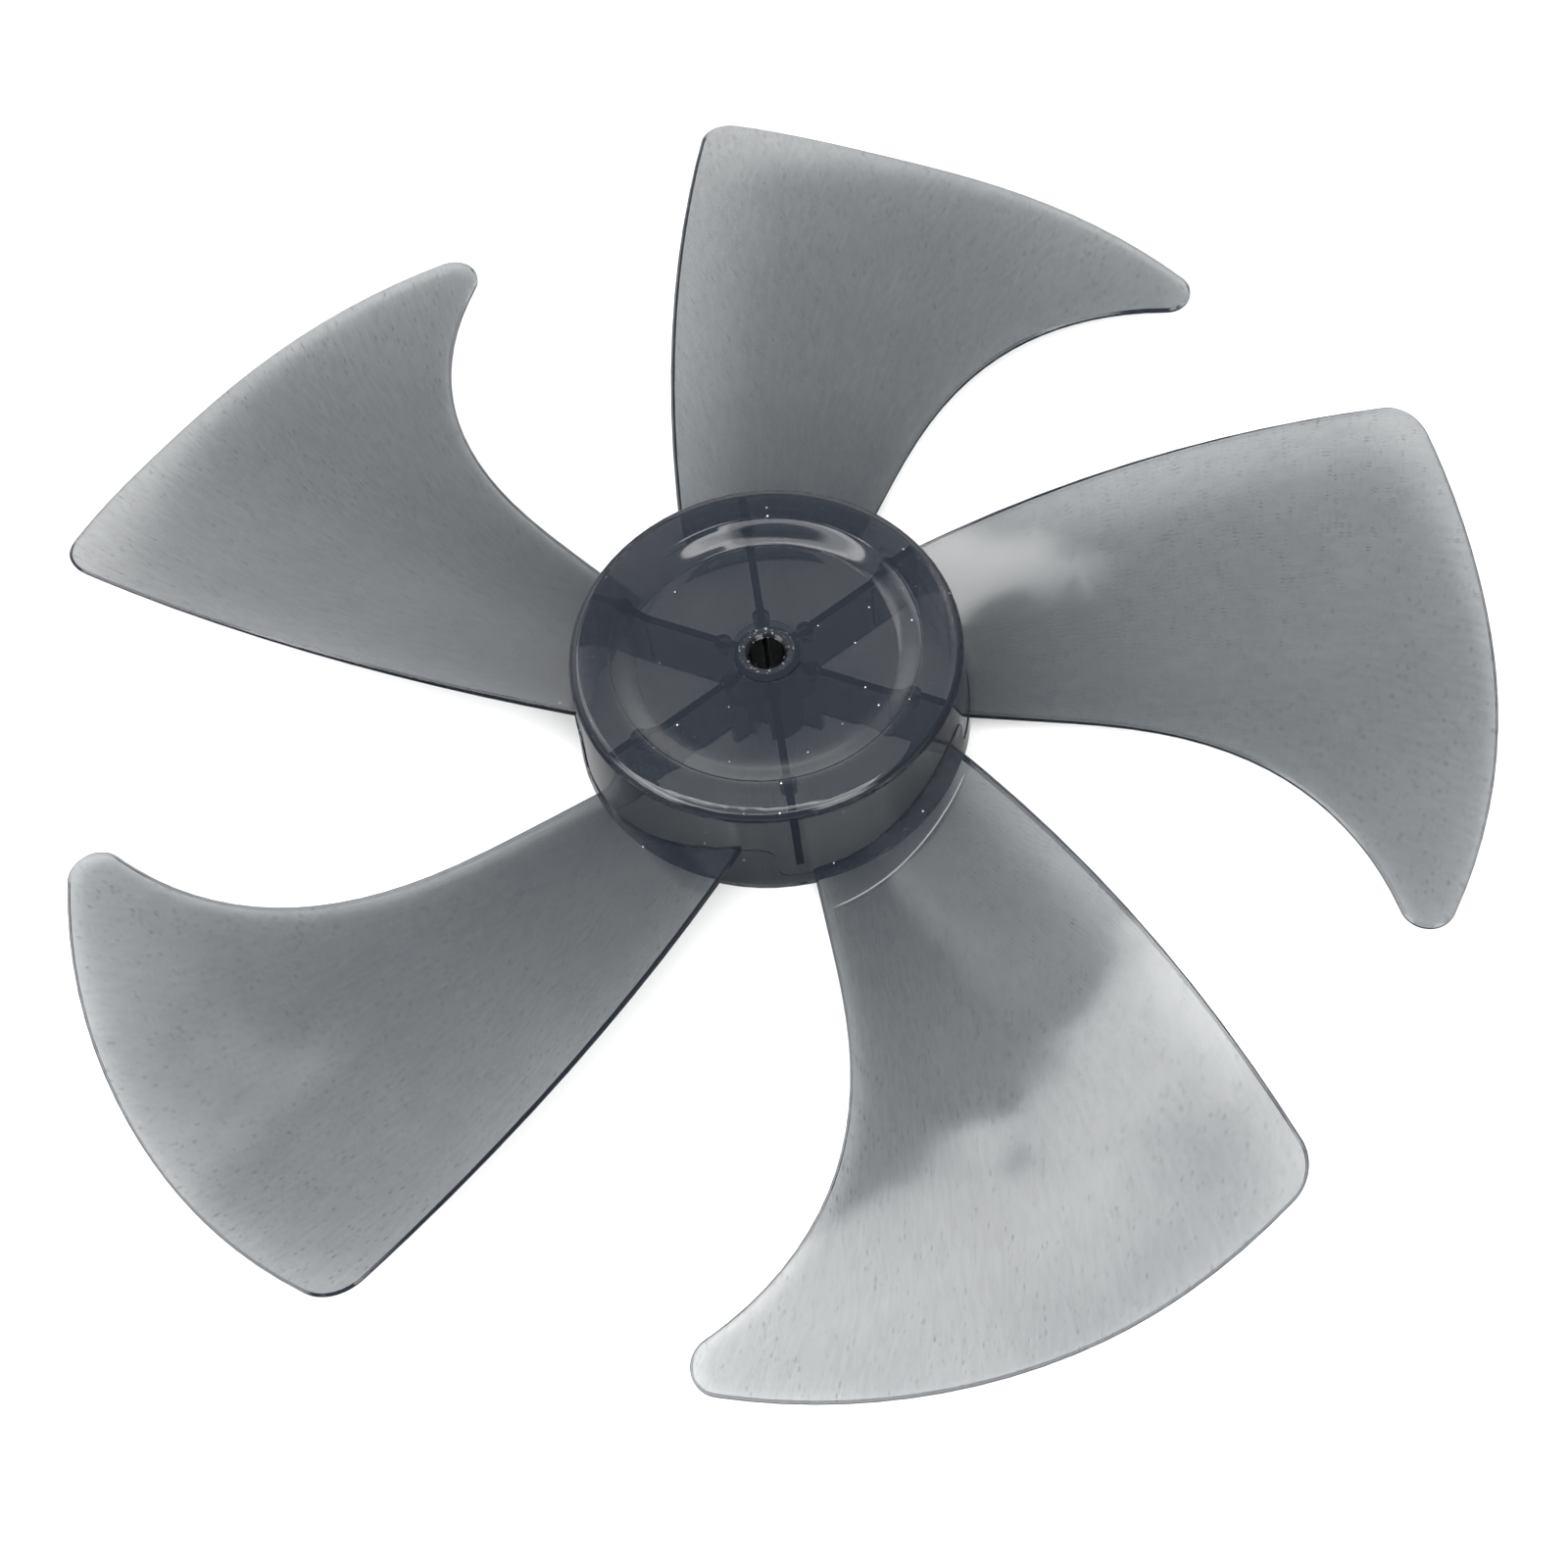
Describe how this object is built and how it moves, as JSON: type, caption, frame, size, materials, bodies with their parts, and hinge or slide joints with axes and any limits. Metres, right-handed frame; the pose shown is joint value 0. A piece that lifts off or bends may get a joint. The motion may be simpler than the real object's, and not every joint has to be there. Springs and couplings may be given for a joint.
{
  "type": "fan impeller",
  "caption": "Moulded axial fan impeller with a cup-shaped hub, shaft bore, inner ribs and forward-swept blades that rise towards their trailing edges.",
  "frame": {"origin": "on the shaft axis, in the plane of the hub skirt's back rim, where the sleeve's bore also ends", "axes": "+Z along the shaft towards the closed front of the hub, where the air is blown to; +X and +Y across the blades"},
  "size_m": [0.3345, 0.3347, 0.03],
  "materials": {
    "smoke_plastic": "glossy translucent smoke-grey styrene plastic"
  },
  "bodies": {
    "root": {"impeller": "smoke_plastic"}
  },
  "joints": []
}
